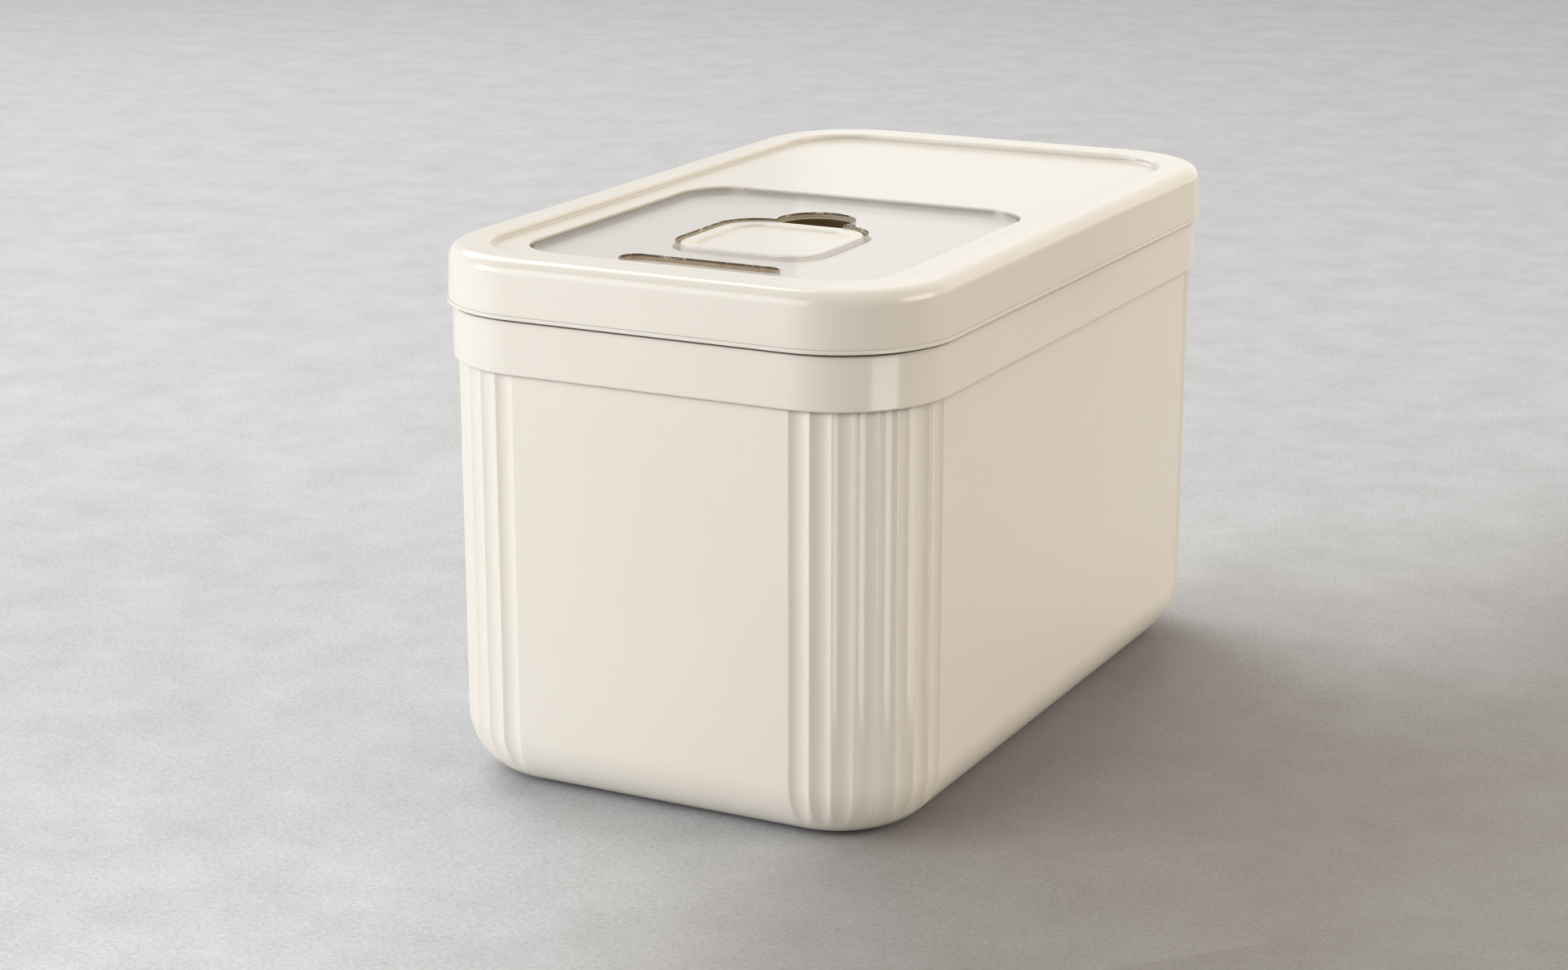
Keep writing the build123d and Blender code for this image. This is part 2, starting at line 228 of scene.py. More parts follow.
@dataclass
class Shell:
    """A piece's mesh in millimetres, put together from swept walls and filled faces."""

    mesh: BMesh = field(default_factory=bmesh.new)

    def _take(self, part: BMesh) -> None:
        """Adds a part to the piece.

        Args:
            part: the part's mesh, which is freed.
        """
        carrier = bpy.data.meshes.new("part")
        part.to_mesh(carrier)
        part.free()
        self.mesh.from_mesh(carrier)
        bpy.data.meshes.remove(carrier)

    def sweep(self, outline: Outline, profile: Profile, corner_steps: int = 32) -> None:
        """Sweeps a profile round an outline: one quarter is swept and mirrored twice.

        Args:
            outline: the outline that the profile's offsets are taken from.
            profile: draws the profile, as offset and height.
            corner_steps: how many steps each corner has.
        """
        part = bmesh.new()
        profile(Pen(part, Vector((outline.width / 2, 0, 0)), ACROSS, UP))
        corner = Vector((*outline.corner(), 0))
        edges = extend(part, part.edges[:], Vector((0, corner.y, 0)))
        ends = list({vert: None for edge in edges for vert in edge.verts})
        edges = pick(spin(part, edges + ends, corner, UP, 90, corner_steps), BMEdge)
        extend(part, edges, Vector((-corner.x, 0, 0)))
        for axis in ("X", "Y"):
            bmesh.ops.mirror(part, geom=whole(part), matrix=Matrix.Identity(4), merge_dist=WELD, axis=axis)
        bmesh.ops.remove_doubles(part, verts=part.verts[:], dist=WELD)
        bmesh.ops.translate(part, verts=part.verts[:], vec=outline.centre_y * ALONG)
        self._take(part)

    def stack(self, draw: Plan, levels: list[Pair]) -> None:
        """Draws a plan at several heights and bridges the loops into a wall.

        Args:
            draw: draws the plan, moved outwards by a distance.
            levels: the distance and the height of each loop.
        """
        part = bmesh.new()
        below = None
        for growth, height in levels:
            known = set(part.edges)
            draw(Pen(part, height * UP, ACROSS, ALONG), growth)
            loop = [edge for edge in part.edges if edge not in known]
            if below is not None:
                bmesh.ops.bridge_loops(part, edges=below + loop)
                part.edges.ensure_lookup_table()
                loop = [edge for edge in loop if edge.is_valid]
            below = loop
        self._take(part)

    def _open_edges(self, height: float) -> list:
        """Finds the open edges that lie flat.

        Args:
            height: the height that they lie at.

        Returns:
            The edges.
        """
        def level(vert: BMVert) -> bool:
            """Whether a vertex lies at the height."""
            return abs(vert.co.z - height) < LEVEL

        return [edge for edge in self.mesh.edges if edge.is_boundary and all(map(level, edge.verts))]

    def fill(self, *heights: float) -> None:
        """Fills the flat face between the open edges at each height, holes left out."""
        for edges in map(self._open_edges, heights):
            bmesh.ops.triangle_fill(self.mesh, edges=edges, use_beauty=True, use_dissolve=False, normal=UP)

    def bridge(self, height: float) -> None:
        """Bridges the two open loops at a height."""
        bmesh.ops.bridge_loops(self.mesh, edges=self._open_edges(height))

    def add_block(self, low: Vector, high: Vector, edge_r: float, cut_at: Vector, cut_way: Vector) -> None:
        """Adds a small block with rounded edges, cut off along an upright plane.

        Args:
            low: its lowest corner.
            high: its highest corner.
            edge_r: the radius of its edges.
            cut_at: a point of the plane.
            cut_way: the plane's normal, which points at the side that stays.
        """
        part = bmesh.new()
        bmesh.ops.create_cube(part, size=1)
        bmesh.ops.scale(part, verts=part.verts[:], vec=high - low)
        bmesh.ops.translate(part, verts=part.verts[:], vec=(low + high) / 2)
        made = bmesh.ops.bisect_plane(
            part, geom=whole(part), plane_co=cut_at, plane_no=cut_way, clear_inner=True,
        )
        bmesh.ops.contextual_create(part, geom=pick(made["geom_cut"], BMEdge))
        soften(part, part.edges[:], edge_r)
        self._take(part)

    def add_pin(self, start: Vector, end: Vector, radius: float, edge_r: float, sides: int = 24) -> None:
        """Adds a round pin with soft ends.

        Args:
            start: the middle of one end.
            end: the middle of the other end.
            radius: its radius.
            edge_r: the radius of its rims.
            sides: how many sides it has.
        """
        part = bmesh.new()
        turn = (end - start).to_track_quat("Z", "Y").to_matrix().to_4x4()
        bmesh.ops.create_cone(
            part, cap_ends=True, segments=sides, radius1=radius, radius2=radius,
            depth=(end - start).length, matrix=Matrix.Translation((start + end) / 2) @ turn,
        )
        rims = [edge for edge in part.edges if any(len(face.verts) > 4 for face in edge.link_faces)]
        soften(part, rims, edge_r)
        self._take(part)

    def finish(self, name: str, node: str, body: Body, slot: Slot, finish: Material) -> Object:
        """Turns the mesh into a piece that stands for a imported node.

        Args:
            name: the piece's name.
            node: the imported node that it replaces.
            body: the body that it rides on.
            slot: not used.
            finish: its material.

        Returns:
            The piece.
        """
        bmesh.ops.remove_doubles(self.mesh, verts=self.mesh.verts[:], dist=WELD)
        bmesh.ops.dissolve_degenerate(self.mesh, edges=self.mesh.edges[:], dist=WELD)
        bmesh.ops.recalc_face_normals(self.mesh, faces=self.mesh.faces[:])
        bmesh.ops.scale(self.mesh, verts=self.mesh.verts[:], vec=(MM, MM, MM))
        open_count = sum(1 for edge in self.mesh.edges if not edge.is_manifold)
        piece = link_mesh(name, self.mesh, finish)
        data = piece.data
        data.polygons.foreach_set("use_smooth", [True] * len(data.polygons))
        data.set_sharp_from_angle(angle=radians(CREASE))
        piece.modifiers.new("weighted_normals", "WEIGHTED_NORMAL").keep_sharp = True
        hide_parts(node)
        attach(piece, body.value)
        log.info("%s: %d faces, %d open edges", name, len(data.polygons), open_count)
        return piece


def srgb(*channels: float) -> Colour:
    """Turns a screen's red, green and blue of 0 to 255 into the linear colour that shaders take."""
    shares = (channel / 255 for channel in channels)
    return (*(part / 12.92 if part <= 0.04045 else ((part + 0.055) / 1.055) ** 2.4 for part in shares), 1.0)


@dataclass(frozen=True)
class Pattern:
    """A noise pattern: the width of a blotch in metres, and how many and how strong its finer layers are."""

    size: float
    detail: float = 2.0
    roughness: float = 0.5


@dataclass(frozen=True)
class Value:
    """A shader value whose arithmetic adds Math nodes to its material."""

    graph: "Graph"
    socket: NodeSocket

    def _math(self, operation: str, first: object, second: object) -> "Value":
        """Adds one Math node, whose inputs are Values or numbers."""
        return self.graph.value("Math", 0, {0: first, 1: second}, operation=operation)

    def __add__(self, other: object) -> "Value":
        """Adds a value or a number."""
        return self._math("ADD", self, other)

    __radd__ = __add__

    def __mul__(self, other: object) -> "Value":
        """Multiplies by a value or a number."""
        return self._math("MULTIPLY", self, other)

    __rmul__ = __mul__

    def __sub__(self, other: object) -> "Value":
        """Takes a value or a number away."""
        return self._math("SUBTRACT", self, other)

    def __rsub__(self, other: object) -> "Value":
        """Takes this value away from a number."""
        return self._math("SUBTRACT", other, self)


class Graph:
    """The node tree of a material or of the world, built one node at a time."""

    def __init__(self, owner: Material | World) -> None:
        """Empties the owner's tree and gives it an output.

        Args:
            owner: the material or world.
        """
        owner.use_nodes = True
        self.owner, self.tree = owner, owner.node_tree
        self.tree.nodes.clear()
        self.output = self.node(f"Output{type(owner).__name__}")

    def node(self, kind: str, inputs: dict | None = None, **settings: object) -> ShaderNode:
        """Adds a node of any type.

        Args:
            kind: the node's type without its prefix, such as TexNoise.
            inputs: values, sockets or Values, by the input's name or number.
            settings: the node's own properties, set before its sockets.

        Returns:
            The new node.
        """
        made = self.tree.nodes.new(f"ShaderNode{kind}")
        for key, setting in settings.items():
            setattr(made, key, setting)
        for key, given in (inputs or {}).items():
            if isinstance(given, Value):
                given = given.socket
            if isinstance(given, NodeSocket):
                self.tree.links.new(given, made.inputs[key])
            else:
                made.inputs[key].default_value = given
        return made

    def value(self, kind: str, output: str | int, inputs: dict | None = None, **settings: object) -> Value:
        """Adds a node of any type and returns the output of that name or number."""
        return Value(self, self.node(kind, inputs, **settings).outputs[output])

    @cached_property
    def coordinates(self) -> ShaderNode:
        """The node that all coordinates are read from."""
        return self.node("TexCoord")

    @property
    def place(self) -> NodeSocket:
        """The point on the surface, in the object's own metres."""
        return self.coordinates.outputs["Object"]

    def along(self, axis: str, place: object) -> Value:
        """One coordinate of a place or of a direction."""
        return self.value("SeparateXYZ", axis, {0: place})

    def vectors(self, operation: str, first: object, second: object, output: str = "Value") -> Value:
        """Adds one Vector Math node and returns the named output."""
        return self.value("VectorMath", output, {0: first, 1: second}, operation=operation)

    def noise(self, pattern: Pattern) -> Value:
        """Adds a noise pattern, from 0 to 1."""
        inputs = {"Scale": 1 / pattern.size, "Detail": pattern.detail, "Roughness": pattern.roughness}
        return self.value("TexNoise", "Fac", {"Vector": self.place, **inputs})

    def ramp(self, value: object, low: float, high: float) -> Value:
        """Turns a value into a smooth step, 0 where it is low and 1 where it is high."""
        inputs = {"Value": value, "From Min": low, "From Max": high}
        return self.value("MapRange", "Result", inputs, interpolation_type="SMOOTHSTEP")

    def blend(self, share: object, first: object, second: object) -> NodeSocket:
        """Mixes two colours or colour sockets by the share of the second."""
        inputs = {"Factor": share, MIX_FIRST: first, MIX_SECOND: second}
        return self.node("Mix", inputs, data_type="RGBA", blend_type="MIX").outputs[MIX_RESULT]

    def bump(self, height: Value, depth: float, strength: float, **under: NodeSocket) -> NodeSocket:
        """Adds a bump that is so many metres deep, on a coarser bump's Normal where one is given."""
        inputs = {"Height": height, "Distance": depth, "Strength": strength, **under}
        return self.node("Bump", inputs).outputs["Normal"]

    def openness(self, reach: float) -> Value:
        """How free the surface is of others within a reach, from 0 to 1."""
        return self.value("AmbientOcclusion", "AO", {"Distance": reach}, samples=OCCLUSION_SAMPLES)

    def inner_side(self) -> Value:
        """1 on the inner side of a surface and 0 on its outer side."""
        return self.value("NewGeometry", "Backfacing")

    def facing(self, way: Vector | Place) -> Value:
        """How far the world's direction points a way, from -1 to 1."""
        return self.vectors("DOT_PRODUCT", self.coordinates.outputs["Generated"], Vector(way).normalized())

    def finish(self, shader: ShaderNode) -> Material | World:
        """Links a shader to the output and returns what is finished."""
        self.tree.links.new(shader.outputs[0], self.output.inputs["Surface"])
        return self.owner

    def finish_mixed(self, share: object, first: ShaderNode, second: ShaderNode) -> Material | World:
        """Finishes with two shaders, mixed by the share of the second."""
        return self.finish(self.node("MixShader", {0: share, 1: first.outputs[0], 2: second.outputs[0]}))


@dataclass(frozen=True)
class MouldedPlastic:
    """An opaque moulded plastic with faint flow marks and a slow waviness, with painted shade in seams and,
    where given, in a hollow.
    """

    name: str
    colour: Colour
    deep_colour: Colour
    flow: Pattern = Pattern(0.09, 3.0, 0.55)
    flow_share: float = 0.85
    speck: Pattern = Pattern(0.0011, 2.0, 0.6)
    speck_share: float = 0.1
    roughness: float = 0.16
    roughness_spread: float = 0.06
    peel: Pattern = Pattern(0.006, 1.0)
    peel_relief: Pair = (0.00002, 0.3)
    wave: Pattern = Pattern(0.07, 1.0)
    wave_relief: Pair = (0.00012, 0.35)
    crevice_colour: Colour | None = None
    crevice_reach: float = 0.0035
    crevice_openness: Pair = (0.3, 0.97)
    crevice_above: float | None = None
    hollow_colour: Colour | None = None
    hollow_span: Pair = (0.0, 0.0)
    hollow_spot: Place = (0.0, 0.0, 0.0)
    wall_drop: float = 0.0025
    spot_r: float = 0.0218
    fade: float = 0.002
    facing_fade: float = 0.0005

    def _shade_crevice(self, graph: Graph, colour: object) -> object:
        """Paints shade into the colour in seams and gaps, where the surfaces are close together.

        Args:
            graph: the material's nodes.
            colour: the colour so far.

        Returns:
            The deepened colour.
        """
        if self.crevice_colour is None:
            return colour
        # Painted shade: the colour darkens where ambient occlusion finds other surfaces close by.
        dark = 1 - graph.ramp(graph.openness(self.crevice_reach), *self.crevice_openness)
        if self.crevice_above is not None:
            height = graph.along("Z", graph.place)
            dark = dark * graph.ramp(height, self.crevice_above, self.crevice_above + self.fade)
        return graph.blend(dark, colour, self.crevice_colour)

    def _shade_hollow(self, graph: Graph, colour: object) -> object:
        """Paints shade into the colour towards the floor of a hollow, on the faces that look into it.

        Args:
            graph: the material's nodes.
            colour: the colour so far.

        Returns:
            The deepened colour.
        """
        if self.hollow_colour is None:
            return colour
        # Painted shade: darker deeper down the hollow, on the faces that look into it.
        normal = graph.coordinates.outputs["Normal"]
        lift = graph.along("Z", normal)
        height = graph.along("Z", graph.place) - (1 - lift * lift) * self.wall_drop
        dark = 1 - graph.ramp(height, *self.hollow_span)
        away = graph.vectors("DISTANCE", graph.place, self.hollow_spot)
        dark = dark * graph.ramp(away, self.spot_r + self.fade, self.spot_r)
        inwards = graph.vectors("SUBTRACT", self.hollow_spot, graph.place, "Vector")
        facing = graph.vectors("DOT_PRODUCT", inwards, normal)
        return graph.blend(dark * graph.ramp(facing, 0.0, self.facing_fade), colour, self.hollow_colour)

    def make(self) -> Material:
        """Builds the material.

        Returns:
            The material.
        """
        graph = Graph(bpy.data.materials.new(self.name))
        flow, speck = graph.noise(self.flow), graph.noise(self.speck)
        peel, wave = graph.noise(self.peel), graph.noise(self.wave)
        marks = flow * self.flow_share + speck * self.speck_share
        colour = self._shade_hollow(graph, graph.blend(marks, self.colour, self.deep_colour))
        normal = graph.bump(wave, *self.wave_relief)
        inputs = {
            "Base Color": self._shade_crevice(graph, colour),
            "Roughness": (flow + speck - 1) * self.roughness_spread + self.roughness,
            "Normal": graph.bump(peel, *self.peel_relief, Normal=normal),
            "IOR": PLASTIC_IOR,
        }
        return graph.finish(graph.node("BsdfPrincipled", inputs))


@dataclass(frozen=True)
class ClearPlastic:
    """A polished clear plastic: light passes straight through, and more is mirrored at a low angle."""

    name: str = "clear_plastic_window"
    tint: Colour = (0.99, 0.99, 0.99, 1.0)
    haze: Pattern = Pattern(0.03, 3.0, 0.6)
    roughness: float = 0.015
    roughness_spread: float = 0.03
    wave: Pattern = Pattern(0.05, 1.0)
    wave_relief: Pair = (0.0001, 0.15)

    def make(self) -> Material:
        """Builds the material.

        Returns:
            The material.
        """
        graph = Graph(bpy.data.materials.new(self.name))
        through = graph.node("BsdfTransparent", {"Color": self.tint})
        inputs = {
            "Roughness": graph.noise(self.haze) * self.roughness_spread + self.roughness,
            "Normal": graph.bump(graph.noise(self.wave), *self.wave_relief),
        }
        mirror = graph.node("BsdfGlossy", inputs)
        share = graph.value("Fresnel", 0, {"IOR": PLASTIC_IOR}) * (1 - graph.inner_side())
        return graph.finish_mixed(share, through, mirror)


@dataclass(frozen=True)
class CutEdge:
    """The cut edge of the clear plate: dark with painted glints above, standing in for its refractions and
    reflections, frosted and sandy below.
    """

    name: str = "clear_plastic_cut_edge"
    dark: Colour = srgb(96, 82, 66)
    bright: Colour = srgb(226, 220, 210)
    sand: Colour = srgb(132, 112, 84)
    pale_sand: Colour = srgb(212, 200, 180)
    glint: Pattern = Pattern(0.0022, 3.0, 0.75)
    streak: Pattern = Pattern(0.012, 2.0, 0.6)
    glint_span: Pair = (0.5, 0.66)
    grain: Pattern = Pattern(0.0009, 2.0, 0.7)
    frost_span: Pair = (0.2295, 0.2288)
    roughness: float = 0.05
    roughness_spread: float = 0.2
    relief: Pair = (0.0006, 0.6)
    inner_clearness: float = 0.9

    def make(self) -> Material:
        """Builds the material.

        Returns:
            The material.
        """
        graph = Graph(bpy.data.materials.new(self.name))
        glint = graph.noise(self.glint)
        # Painted reflection: dark and bright patches in the colour stand in for the glints of a cut edge.
        share = graph.ramp((glint + graph.noise(self.streak)) * 0.5, *self.glint_span)
        frost = graph.ramp(graph.along("Z", graph.place), *self.frost_span)
        sand = graph.blend(graph.noise(self.grain), self.sand, self.pale_sand)
        inputs = {
            "Base Color": graph.blend(frost, graph.blend(share, self.dark, self.bright), sand),
            "Roughness": glint * self.roughness_spread + self.roughness,
            "IOR": PLASTIC_IOR,
            "Normal": graph.bump(glint, *self.relief),
        }
        surface = graph.node("BsdfPrincipled", inputs)
        through = graph.node("BsdfTransparent")
        return graph.finish_mixed(graph.inner_side() * self.inner_clearness, surface, through)


@dataclass(frozen=True)
class SoftSeal:
    """A soft, milky seal."""

    name: str = "milky_seal"
    colour: Colour = srgb(214, 210, 204)
    deep_colour: Colour = srgb(200, 196, 190)
    cloud: Pattern = Pattern(0.02, 3.0, 0.6)
    roughness: float = 0.5
    roughness_spread: float = 0.12
    grain: Pattern = Pattern(0.0008)
    grain_relief: Pair = (0.00003, 0.3)
    milkiness: float = 0.3
    scatter: Place = (1.0, 0.9, 0.8)
    scatter_depth: float = 0.003

    def make(self) -> Material:
        """Builds the material.

        Returns:
            The material.
        """
        graph = Graph(bpy.data.materials.new(self.name))
        cloud = graph.noise(self.cloud)
        inputs = {
            "Base Color": graph.blend(cloud, self.colour, self.deep_colour),
            "Roughness": cloud * self.roughness_spread + self.roughness,
            "Normal": graph.bump(graph.noise(self.grain), *self.grain_relief),
            "Subsurface Weight": self.milkiness,
            "Subsurface Radius": self.scatter,
            "Subsurface Scale": self.scatter_depth,
        }
        return graph.finish(graph.node("BsdfPrincipled", inputs))


@dataclass(frozen=True)
class Concrete:
    """A matt, pale concrete, with a painted shadow at the bin's right and painted contact shade next to the
    bin.
    """

    name: str = "pale_concrete"
    pale: Colour = srgb(230, 232, 236)
    grey: Colour = srgb(164, 164, 164)
    cloud: Pattern = Pattern(0.05, 6.0, 0.75)
    cloud_share: float = 0.6
    grit: Pattern = Pattern(0.0022, 3.0, 0.85)
    grit_share: float = 1.1
    base_share: float = -0.35
    dim_colour: Colour = srgb(100, 84, 66)
    dim_way: Place = (0.95, -0.25, 0.0)
    dim_span: Pair = (0.03, 0.30)
    dim_share: float = 0.58
    shade_colour: Colour = srgb(84, 66, 48)
    shade_reach: float = 0.24
    shade_openness: Pair = (1.0, 0.5)
    shade_span: Pair = (0.05, 0.12)
    shade_share: float = 0.63
    roughness: float = 0.58
    roughness_spread: float = 0.14
    gloss: float = 0.25
    relief: Pair = (0.0003, 0.3)

    def make(self) -> Material:
        """Builds the material.

        Returns:
            The material.
        """
        graph = Graph(bpy.data.materials.new(self.name))
        cloud, grit = graph.noise(self.cloud), graph.noise(self.grit)
        marks = cloud * self.cloud_share + grit * self.grit_share + self.base_share
        # Painted shadow: the colour darkens towards the bin's right.
        dim = graph.ramp(graph.vectors("DOT_PRODUCT", graph.place, self.dim_way), *self.dim_span)
        colour = graph.blend(dim * self.dim_share, graph.blend(marks, self.pale, self.grey), self.dim_colour)
        # Painted contact shade: darker where ambient occlusion finds the bin, on its right side.
        shade = graph.ramp(graph.openness(self.shade_reach), *self.shade_openness)
        shade = shade * graph.ramp(graph.along("X", graph.place), *self.shade_span)
        inputs = {
            "Base Color": graph.blend(shade * self.shade_share, colour, self.shade_colour),
            "Roughness": cloud * self.roughness_spread + self.roughness,
            "Specular IOR Level": self.gloss,
            "Normal": graph.bump(grit, *self.relief),
        }
        return graph.finish(graph.node("BsdfPrincipled", inputs))


@dataclass
class Tub:
    """The deep body, whose corners carry flutes that follow the bottom round."""

    outline: Outline = Outline(222.0, 371.6, 47.0)
    height: float = 206.0
    wall: float = 2.7
    floor: float = 2.8
    bottom_r: float = 27.0
    foot_recess: float = 0.8
    foot_width: float = 8.0
    flutes_per_corner: int = 8
    flute_depth: float = 1.35
    flute_land: float = 0.5
    flute_end_height: float = 7.0
    flute_top: float = 190.0
    flute_fade: float = 1.0
    ridge_softness: float = 0.16
    corner_steps: int = 192
    round_steps: int = 28

    def _profile(self, pen: Pen) -> None:
        """Draws the wall from the recess under the floor, round the outside and down the inside.

        Args:
            pen: the pen that draws it.
        """
        inside_r = self.bottom_r - self.wall
        foot = self.bottom_r + self.foot_width
        pen.start(-foot, self.foot_recess).line(-foot, 0).line(-self.bottom_r, 0)
        pen.turn(-self.bottom_r, self.bottom_r, 90, self.round_steps)
        pen.line(0, self.flute_top - self.flute_fade).line(0, self.flute_top).line(0, self.height)
        pen.line(-self.wall, self.height).line(-self.wall, self.floor + inside_r)
        pen.turn(-self.bottom_r, self.floor + inside_r, -90, self.round_steps // 2)

    def _flute_sizes(self) -> tuple[float, float, float]:
        """Works out the round bar that would cut one flute.

        Returns:
            The bar's radius, how far its axis is from the corner's, and the radius of its turn.
        """
        corner_r = self.outline.corner_r
        half_angle = radians(90 / self.flutes_per_corner) / 2 - self.flute_land / (2 * corner_r)
        half_width = corner_r * sin(half_angle)
        valley = corner_r - self.flute_depth
        sagitta = sqrt(corner_r**2 - half_width**2) - valley
        bar_r = (half_width**2 + sagitta**2) / (2 * sagitta)
        drop = self.bottom_r - self.flute_end_height
        inset = valley - (corner_r - self.bottom_r + sqrt(self.bottom_r**2 - drop**2))
        turn_r = (inset**2 + drop**2) / (2 * inset) + bar_r
        return bar_r, valley + bar_r, turn_r

    def _flute_cut(self, angle: float, tilt: float, height: float) -> float:
        """How deep the flutes cut at a point of the corner.

        Args:
            angle: the point's angle round the corner.
            tilt: how far the surface has turned under, 0 on the upright wall.
            height: the point's height.

        Returns:
            The depth along the surface's normal, below 0 where nothing is cut.
        """
        bar_r, axis_distance, turn_r = self._flute_sizes()
        pitch = radians(90 / self.flutes_per_corner)
        aside = (angle % pitch) - pitch / 2
        inner_r = self.outline.corner_r - self.bottom_r

        def clearance(depth: float) -> float:
            """Measures how far a place under the point is from the bar's surface.

            Args:
                depth: how deep it lies.

            Returns:
                The distance, below 0 inside the bar.
            """
            reach = inner_r + (self.bottom_r - depth) * cos(tilt)
            level = height + depth * sin(tilt)
            along, across = reach * cos(aside), reach * sin(aside)
            if level >= self.bottom_r:
                return hypot(along - axis_distance, across) - bar_r
            ring = hypot(along - (axis_distance - turn_r), level - self.bottom_r)
            return hypot(ring - turn_r, across) - bar_r

        shallow, deep = -self.flute_depth, 2 * self.flute_depth
        if clearance(shallow) > 0:
            return shallow
        for _ in range(HALVINGS):
            middle = (shallow + deep) / 2
            if clearance(middle) < 0:
                shallow = middle
            else:
                deep = middle
        return shallow

    def _flute(self, mesh: BMesh) -> None:
        """Moves the corners' outer skin inwards to the flutes.

        Args:
            mesh: the tub's mesh.
        """
        corner_x, corner_y = self.outline.corner()
        top = self.flute_top - self.flute_fade / 2
        inner_r = self.outline.corner_r - self.bottom_r
        known = {}
        for vert in mesh.verts:
            out_x, out_y = abs(vert.co.x) - corner_x, abs(vert.co.y) - corner_y
            if out_x < -LEVEL or out_y < -LEVEL or vert.co.z > top:
                continue
            reach = hypot(out_x, out_y)
            drop = max(self.bottom_r - vert.co.z, 0.0)
            tilt = atan2(drop, max(reach - inner_r, 0.0))
            if abs(hypot(reach - inner_r, drop) - self.bottom_r) > LEVEL:
                continue
            angle = atan2(max(out_y, 0.0), max(out_x, 0.0))
            key = (round(angle, KEY_DIGITS), round(tilt, KEY_DIGITS))
            if key not in known:
                cut = self._flute_cut(angle, tilt, self.bottom_r - drop)
                known[key] = (cut + sqrt(cut**2 + self.ridge_softness**2)) / 2
            depth = known[key]
            along = (reach - depth * cos(tilt)) / reach
            vert.co.x = (corner_x + out_x * along) * (1 if vert.co.x > 0 else -1)
            vert.co.y = (corner_y + out_y * along) * (1 if vert.co.y > 0 else -1)
            vert.co.z += depth * sin(tilt)

    def build(self, finish: Material) -> Object:
        """Builds the tub.

        Args:
            finish: its material.

        Returns:
            The piece.
        """
        shell = Shell()
        shell.sweep(self.outline, self._profile, self.corner_steps)
        self._flute(shell.mesh)
        shell.fill(self.foot_recess, self.floor)
        return shell.finish("fluted_tub", "tub", Body.BASE, Slot.CREAM, finish)


@dataclass
class Collar:
    """The smooth band over the tub's edge, with the lip inside it and the neck that the lid seals on."""

    outline: Outline = Outline(222.0, 371.6, 47.0)
    step: float = 2.2
    fit: float = 0.4
    bottom: float = 185.5
    tub_top: float = 206.0
    shoulder: float = 209.0
    edge_r: float = 1.2
    lip_out: float = -3.0
    lip_in: float = -4.5
    lip_bottom: float = 198.0
    neck_out: float = 0.2
    neck_in: float = -2.0
    neck_top: float = 228.3
    neck_edge_r: float = 0.6
    edge_steps: int = 5
    neck_steps: int = 4

    def _profile(self, pen: Pen) -> None:
        """Draws the collar's closed section.

        Args:
            pen: the pen that draws it.
        """
        rounded, soft = self.edge_r, self.neck_edge_r
        pen.start(self.fit, self.bottom).line(self.step - rounded, self.bottom)
        pen.turn(self.step - rounded, self.bottom + rounded, 90, self.edge_steps)
        pen.line(self.step, self.shoulder - rounded)
        pen.turn(self.step - rounded, self.shoulder - rounded, 90, self.edge_steps)
        pen.line(self.neck_out, self.shoulder).line(self.neck_out, self.neck_top - soft)
        pen.turn(self.neck_out - soft, self.neck_top - soft, 90, self.neck_steps)
        pen.line(self.neck_in + soft, self.neck_top)
        pen.turn(self.neck_in + soft, self.neck_top - soft, 90, self.neck_steps)
        pen.line(self.neck_in, self.shoulder)
        pen.line(self.lip_in, self.shoulder).line(self.lip_in, self.lip_bottom)
        pen.line(self.lip_out, self.lip_bottom).line(self.lip_out, self.tub_top)
        pen.line(self.fit, self.tub_top)
        pen.close()

    def build(self, finish: Material) -> Object:
        """Builds the collar.

        Args:
            finish: its material.

        Returns:
            The piece.
        """
        shell = Shell()
        shell.sweep(self.outline, self._profile)
        return shell.finish("edge_collar", "rim_collar", Body.BASE, Slot.CREAM, finish)


